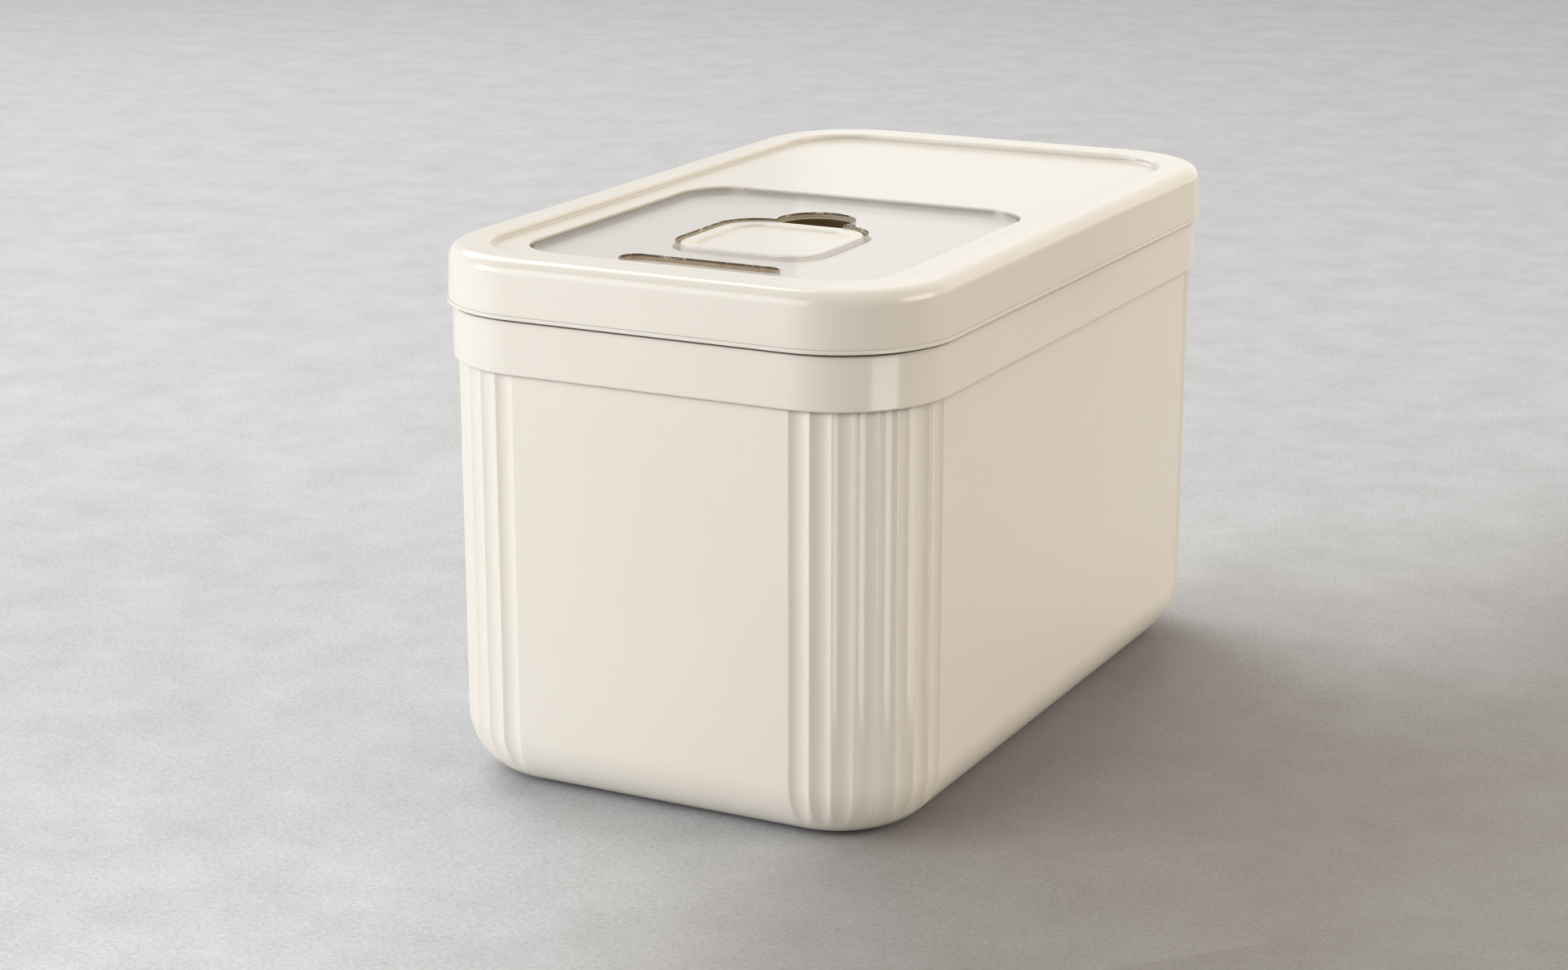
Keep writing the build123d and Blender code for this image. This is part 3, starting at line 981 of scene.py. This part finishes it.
@dataclass
class LidFrame:
    """The lid: its skirt, raised rim and sunk deck, and the pocket, trough and bosses for the flap."""

    outline: Outline = Outline(230.0, 379.6, 51.0)
    deck: Outline = Outline(193.2, 338.8, 32.6, -2.0)
    pocket: Outline = Outline(168.0, 175.1, 24.0, -67.05)
    scoop: Outline = Outline(144.0, 121.0, 20.0, -61.5)
    trough: Outline = Outline(84.0, 20.0, 9.0, -141.0)
    bottom: float = 209.5
    top: float = 234.2
    roof: float = 231.0
    top_r: float = 6.0
    draft: float = 0.7
    bead_out: float = 0.4
    bead_top: float = 211.2
    bead_r: float = 0.35
    wall: float = 2.2
    channel_out: float = -2.9
    channel_bottom: float = 227.0
    rib_out: float = -7.1
    rib_in: float = -8.9
    rib_bottom: float = 225.5
    deck_top: float = 231.5
    deck_bottom: float = 229.3
    rim_soft_r: float = 1.3
    rim_wall: float = 2.0
    pocket_edge_r: float = 0.5
    gap_reach: float = 0.02
    pocket_wall: float = 2.0
    ledge_top: float = 222.8
    ledge_bottom: float = 220.6
    trough_floor: float = 213.8
    trough_wall: float = 2.0
    boss_low: Place = (64.0, 15.7, 227.6)
    boss_high: Place = (76.4, 21.7, 229.8)
    boss_edge_r: float = 0.2
    boss_angle: float = 63.6
    top_steps: int = 14
    rim_steps: int = 6
    soft_steps: int = 4

    def _skirt(self, pen: Pen) -> None:
        """Draws the lid's edge, from the rim's top over the skirt and up to the roof inside.

        Args:
            pen: the pen that draws it.
        """
        bead = self.bead_out - self.bead_r
        top = -self.draft - self.top_r
        pen.start(top, self.top).turn(top, self.top - self.top_r, -90, self.top_steps)
        pen.line(0, self.bead_top).line(bead, self.bead_top)
        pen.turn(bead, self.bead_top - self.bead_r, -90, self.soft_steps)
        pen.line(self.bead_out, self.bottom + self.bead_r)
        pen.turn(bead, self.bottom + self.bead_r, -90, self.soft_steps).line(-self.wall, self.bottom)
        pen.line(-self.wall, self.channel_bottom).line(self.channel_out, self.channel_bottom)
        pen.line(self.channel_out, self.roof).line(self.rib_out, self.roof)
        pen.line(self.rib_out, self.rib_bottom).line(self.rib_in, self.rib_bottom)
        pen.line(self.rib_in, self.roof)

    def _rim_step(self, pen: Pen) -> None:
        """Draws the soft step from the rim down to the deck.

        Args:
            pen: the pen that draws it.
        """
        soft = self.rim_soft_r
        pen.start(soft, self.top).turn(soft, self.top - soft, 90, self.rim_steps)
        pen.line(0, self.deck_top + soft).turn(-soft, self.deck_top + soft, -90, self.rim_steps)

    def _pocket_wall(self, pen: Pen) -> None:
        """Draws the pocket's wall with its soft upper edge.

        Args:
            pen: the pen that draws it.
        """
        soft = self.pocket_edge_r
        pen.start(soft, self.deck_top).turn(soft, self.deck_top - soft, 90, self.soft_steps)
        pen.line(0, self.ledge_top)

    @staticmethod
    def _upright(high: float, low: float) -> Profile:
        """A profile that is one upright line."""
        return lambda pen: pen.start(0, high).line(0, low)

    def build(self, finish: Material, gap_shade_finish: Material) -> Object:
        """Builds the lid frame.

        Args:
            finish: the finish of the lid.
            gap_shade_finish: the finish of the walls round the flap, with painted shade in the gap.

        Returns:
            The piece.
        """
        shell = Shell()
        shell.sweep(self.outline, self._skirt)
        shell.sweep(self.deck, self._rim_step)
        shell.bridge(self.top)
        shell.sweep(self.deck.grown(self.rim_wall), self._upright(self.roof, self.deck_bottom))
        shell.bridge(self.roof)
        shell.sweep(self.pocket, self._pocket_wall)
        shell.sweep(self.pocket.grown(self.pocket_wall), self._upright(self.deck_bottom, self.ledge_bottom))
        shell.sweep(self.scoop, self._upright(self.ledge_top, self.ledge_bottom))
        shell.sweep(self.trough, self._upright(self.ledge_top, self.trough_floor))
        trough_bottom = self.trough_floor - self.trough_wall
        shell.sweep(self.trough.grown(self.trough_wall), self._upright(self.ledge_bottom, trough_bottom))
        shell.fill(self.deck_top, self.deck_bottom, self.ledge_top, self.ledge_bottom)
        shell.fill(self.trough_floor, trough_bottom)
        corner_x, corner_y = self.pocket.corner()
        wall_r = self.pocket.corner_r + self.pocket_wall / 2
        for side in (-1, 1):
            low, high = Vector(self.boss_low), Vector(self.boss_high)
            low.x, high.x = sorted((side * low.x, side * high.x))
            away = Vector((side * cos(radians(self.boss_angle)), sin(radians(self.boss_angle)), 0))
            corner = Vector((side * corner_x, self.pocket.centre_y + corner_y, 0))
            shell.add_block(low, high, self.boss_edge_r, corner + wall_r * away, away)
        piece = shell.finish("lid_shell", "lid_frame", Body.LID, Slot.CREAM, finish)
        # The pocket's walls take the finish with painted shade in the gap round the flap.
        piece.data.materials.append(gap_shade_finish)
        edge = self.pocket.grown(self.pocket_edge_r + self.gap_reach)
        for face in piece.data.polygons:
            place = face.center / MM
            inside = abs(place.x) < edge.width / 2 and abs(place.y - edge.centre_y) < edge.depth / 2
            if inside and self.ledge_top + self.gap_reach < place.z < self.deck_top - self.gap_reach:
                face.material_index = 1
        return piece


@dataclass
class FlapWindow:
    """The clear plate of the flap, with the finger slot, the keyhole and the hinge pegs."""

    outline: Outline = Outline(166.0, 173.1, 23.0, -67.05)
    slot: Outline = Outline(74.0, 14.5, 7.25, -141.0)
    keyhole: Outline = Outline(71.5, 72.0, 19.0, -74.5)
    notch_y: float = -32.1
    notch_r: float = 17.6
    bottom: float = 227.4
    top: float = 230.3
    edge_r: float = 0.4
    outer_edge_r: float = 1.2
    peg_from: float = 62.0
    peg_to: float = 74.0
    peg_y: float = 18.7
    peg_r: float = 0.6
    peg_edge_r: float = 0.15
    upright_limit: float = 0.7
    outer_steps: int = 8
    slot_steps: int = 4
    notch_steps: int = 40
    corner_steps: int = 20
    edge_tilts: tuple[int, ...] = (0, 30, 60, 90)

    def _edge(self, pen: Pen) -> None:
        """Draws the outer wall with its rounded upper edge."""
        soft = self.outer_edge_r
        pen.start(0, self.bottom).line(0, self.top - soft).turn(-soft, self.top - soft, 90, self.outer_steps)

    def _slot_edge(self, pen: Pen) -> None:
        """Draws the slot's wall with its rounded upper edge."""
        pen.start(0, self.bottom).line(0, self.top - self.edge_r)
        pen.turn(self.edge_r, self.top - self.edge_r, -90, self.slot_steps)

    def _keyhole_plan(self, pen: Pen, growth: float) -> None:
        """Draws the rounded square and the round notch behind it.

        Args:
            pen: a pen in plan.
            growth: how far the plan is moved outwards.
        """
        grown = self.keyhole.grown(growth)
        notch_r = self.notch_r + growth
        half, r, steps = grown.width / 2, grown.corner_r, self.corner_steps
        back = grown.centre_y + grown.depth / 2
        front = grown.centre_y - grown.depth / 2
        below = self.notch_y - back
        reach = sqrt(notch_r**2 - below**2)
        sweep = 360 - 2 * degrees(atan2(reach, below))
        pen.start(reach, back).turn(0, self.notch_y, sweep, self.notch_steps)
        pen.line(-half + r, back).turn(-half + r, back - r, 90, steps)
        pen.line(-half, front + r).turn(-half + r, front + r, 90, steps)
        pen.line(half - r, front).turn(half - r, front + r, 90, steps)
        pen.line(half, back - r).turn(half - r, back - r, 90, steps)
        pen.close()

    def build(self, clear: Material, cut_edge: Material) -> Object:
        """Builds the window.

        Args:
            clear: the finish of its faces.
            cut_edge: the finish of its cut edges.

        Returns:
            The piece.
        """
        shell = Shell()
        shell.sweep(self.outline, self._edge)
        shell.sweep(self.slot, self._slot_edge)
        levels = [(0.0, self.bottom)]
        for tilt in map(radians, self.edge_tilts):
            levels.append((self.edge_r * (1 - cos(tilt)), self.top - self.edge_r * (1 - sin(tilt))))
        shell.stack(self._keyhole_plan, levels)
        shell.fill(self.bottom, self.top)
        for side in (-1, 1):
            start = Vector((side * self.peg_from, self.peg_y, self.top))
            end = Vector((side * self.peg_to, self.peg_y, self.top))
            shell.add_pin(start, end, self.peg_r, self.peg_edge_r)
        piece = shell.finish("clear_flap", "flap_window", Body.FLAP, Slot.CLEAR, clear)
        piece.data.materials.append(cut_edge)
        piece.visible_shadow = False
        peg_front = (self.peg_y - 2 * self.peg_r) * MM
        for face in piece.data.polygons:
            on_peg = face.center.y > peg_front and abs(face.center.x) > self.peg_from * MM
            if abs(face.normal.z) < self.upright_limit and not on_peg:
                face.material_index = 1
        return piece


@dataclass
class BoxCap:
    """The dished cap of the drying box, with the plug under it."""

    outline: Outline = Outline(67.5, 69.0, 18.0, -74.5)
    top: float = 229.1
    bottom: float = 226.1
    edge_r: float = 0.7
    dish_inset: float = 6.5
    dish_floor: float = 227.9
    dish_soft_r: float = 0.55
    plug_out: float = -6.1
    plug_in: float = -7.7
    plug_bottom: float = 220.3
    edge_steps: int = 5

    def _profile(self, pen: Pen) -> None:
        """Draws the section from the dish's floor over the edge and round the plug.

        Args:
            pen: the pen that draws it.
        """
        soft, dish, steps = self.dish_soft_r, -self.dish_inset, self.edge_steps
        pen.start(dish - soft, self.dish_floor).turn(dish - soft, self.dish_floor + soft, 90, steps)
        pen.line(dish, self.top - soft).turn(dish + soft, self.top - soft, -90, steps)
        pen.line(-self.edge_r, self.top).turn(-self.edge_r, self.top - self.edge_r, -90, steps)
        pen.line(0, self.bottom).line(self.plug_out, self.bottom).line(self.plug_out, self.plug_bottom)
        pen.line(self.plug_in, self.plug_bottom).line(self.plug_in, self.bottom)

    def build(self, finish: Material) -> Object:
        """Builds the cap.

        Args:
            finish: its material.

        Returns:
            The piece.
        """
        shell = Shell()
        shell.sweep(self.outline, self._profile)
        shell.fill(self.dish_floor, self.bottom)
        return shell.finish("box_cap_dished", "dry_box_cap", Body.DRY_CAP, Slot.CREAM, finish)


@dataclass(frozen=True)
class Softbox:
    """A lamp with a flat, even face."""

    name: str
    place: Place
    size: Pair
    watts: float
    colour: Place = (1.0, 1.0, 1.0)
    only_gloss: bool = False

    def build(self, aim: Vector) -> None:
        """Hangs the lamp.

        Args:
            aim: the point that it faces.
        """
        data = bpy.data.lights.new(self.name, "AREA")
        data.shape = "RECTANGLE"
        data.size, data.size_y = self.size
        data.energy = self.watts
        data.color = self.colour
        lamp = bpy.data.objects.new(self.name, data)
        lamp.location = self.place
        lamp.rotation_euler = (aim - lamp.location).to_track_quat("-Z", "Y").to_euler()
        lamp.visible_diffuse = not self.only_gloss
        bpy.context.scene.collection.objects.link(lamp)


@dataclass
class Studio:
    """The floor, the lamps and the camera."""

    floor_half: float = 6.0
    camera_place: Place = (0.6055, -1.2482, 0.4878)
    camera_turn: Place = (74.38, 0.0, 26.92)
    camera_lens: float = 71.39
    camera_sensor: float = 36.0
    camera_shift_x: float = -0.00515
    bright_way: Place = (-0.05, 1.0, 0.0)
    sky_level: float = 0.45
    sky_spread: float = 0.47
    pane_way: Place = (0.8917, 0.4527, 0.0)
    pane_blur: float = 0.002
    pane_step: float = 0.26
    cool_sky: Colour = srgb(246, 249, 253)
    warm_sky: Colour = srgb(254, 243, 226)
    backdrop: Colour = srgb(216, 217, 219)
    aim: Place = (0.0, 0.0, 0.12)
    lamps: tuple[Softbox, ...] = (
        Softbox("key_softbox", (-2.0, 1.2, 2.4), (1.9, 1.9), 40, (0.97, 0.985, 1.0)),
        Softbox("left_softbox", (-1.95, -1.45, 0.7), (1.0, 1.0), 21, (0.93, 0.965, 1.0)),
        Softbox("front_softbox", (-0.75, -2.0, 0.76), (1.5, 1.4), 22.5),
        Softbox("right_softbox", (2.3, 0.5, 0.95), (1.5, 1.1), 22, (1.0, 0.95, 0.86)),
        Softbox("corner_strip", (0.243, -0.2205, 0.088), (0.09, 0.175), 0.17, only_gloss=True),
    )
    flag_centre: Pair = (0.113, -0.02)
    flag_r: float = 0.95
    flag_height: float = 0.3
    flag_from: float = -50.0
    flag_to: float = 70.0
    flag_steps: int = 24
    flag_colour: Colour = srgb(60, 52, 44)

    def add_camera(self) -> None:
        """Places the camera where the photograph was taken."""
        data = bpy.data.cameras.new("camera")
        data.lens = self.camera_lens
        data.sensor_width = self.camera_sensor
        data.shift_x = self.camera_shift_x
        camera = bpy.data.objects.new("camera", data)
        camera.location = self.camera_place
        camera.rotation_euler = Euler([radians(turn) for turn in self.camera_turn])
        bpy.context.scene.collection.objects.link(camera)
        bpy.context.scene.camera = camera

    def add_world(self) -> None:
        """Sets a soft surrounding, brighter behind the bin, which the camera sees as a pale backdrop."""
        graph = Graph(bpy.data.worlds.new("studio"))
        bpy.context.scene.world = graph.owner
        pane = graph.ramp(graph.facing(self.pane_way), 0.0, self.pane_blur) * self.pane_step
        level = graph.facing(self.bright_way) * self.sky_spread + self.sky_level + pane
        colour = graph.blend(graph.facing(ACROSS) * 0.5 + 0.5, self.cool_sky, self.warm_sky)
        light = graph.node("Background", {"Color": colour, "Strength": level})
        shown = graph.node("Background", {"Color": self.backdrop})
        graph.finish_mixed(graph.value("LightPath", "Is Camera Ray"), light, shown)

    def add_flag(self) -> None:
        """Stands a dark curved card at the right, which only reflections see."""
        shape = bmesh.new()
        start = radians(self.flag_from)
        pen = Pen(shape, Vector((*self.flag_centre, 0)), ACROSS, ALONG)
        pen.start(self.flag_r * cos(start), self.flag_r * sin(start))
        pen.turn(0, 0, self.flag_to - self.flag_from, self.flag_steps)
        extend(shape, shape.edges[:], self.flag_height * UP)
        graph = Graph(bpy.data.materials.new("black_card"))
        card = graph.finish(graph.node("BsdfDiffuse", {"Color": self.flag_colour}))
        flag = link_mesh("dark_flag", shape, card)
        flag.visible_camera = flag.visible_diffuse = flag.visible_shadow = flag.visible_transmission = False

    def add_floor(self) -> None:
        """Lays the floor."""
        shape = bmesh.new()
        bmesh.ops.create_grid(shape, x_segments=1, y_segments=1, size=self.floor_half)
        link_mesh("floor", shape, Concrete().make())

    def build(self) -> None:
        """Builds the studio."""
        bpy.context.scene.view_settings.view_transform = "Standard"
        self.add_camera()
        self.add_world()
        self.add_floor()
        self.add_flag()
        for lamp in self.lamps:
            lamp.build(Vector((*self.aim[:2], lamp.place[2])) if lamp.only_gloss else Vector(self.aim))


def dress(node: str, material: Material) -> None:
    """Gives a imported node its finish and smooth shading.

    Args:
        node: the node's name.
        material: its finish.
    """
    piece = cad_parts[node]
    piece.data.materials.clear()
    piece.data.materials.append(material)
    piece.modifiers.new("weld", "WELD").merge_threshold = NODE_WELD
    piece.modifiers.new("crease", "EDGE_SPLIT").split_angle = radians(CREASE)
    piece.data.polygons.foreach_set("use_smooth", [True] * len(piece.data.polygons))
    log.info("dressed %s", node)


def main() -> None:
    """Builds the scene in order."""
    creams = srgb(236, 230, 220), srgb(230, 223, 211)
    # Painted shade in the seams, such as under the collar's band and under the lid's skirt.
    cream = MouldedPlastic("cream_plastic_body", *creams, crevice_colour=srgb(84, 62, 38)).make()
    bare = MouldedPlastic("cream_plastic_box", *creams).make()
    # Painted shade towards the floor of the notch's well.
    well = MouldedPlastic(
        "cream_plastic_well", *creams, hollow_colour=srgb(96, 76, 48), hollow_span=(0.2240, 0.2272),
        hollow_spot=(0.0, -0.0321, 0.2300),
    ).make()
    # Painted shade on the pocket's walls, in the gap round the flap.
    gap = MouldedPlastic(
        "cream_plastic_gap", *creams, crevice_colour=srgb(84, 66, 46), crevice_reach=0.0052,
        crevice_openness=(0.55, 1.0), crevice_above=0.2270,
    ).make()
    clear, cut_edge, seal = ClearPlastic().make(), CutEdge().make(), SoftSeal().make()
    Tub().build(cream)
    Collar().build(cream)
    LidFrame().build(cream, gap)
    FlapWindow().build(clear, cut_edge)
    BoxCap().build(bare)
    for node, finish in (("flap_plate", well), ("dry_box_cup", bare)):
        dress(node, finish)
    for node in ("lid_gasket", "flap_gasket", "dry_box_seal"):
        dress(node, seal)
    Studio().build()


if __name__ == "__main__":
    logging.basicConfig(level=logging.INFO)
    main()
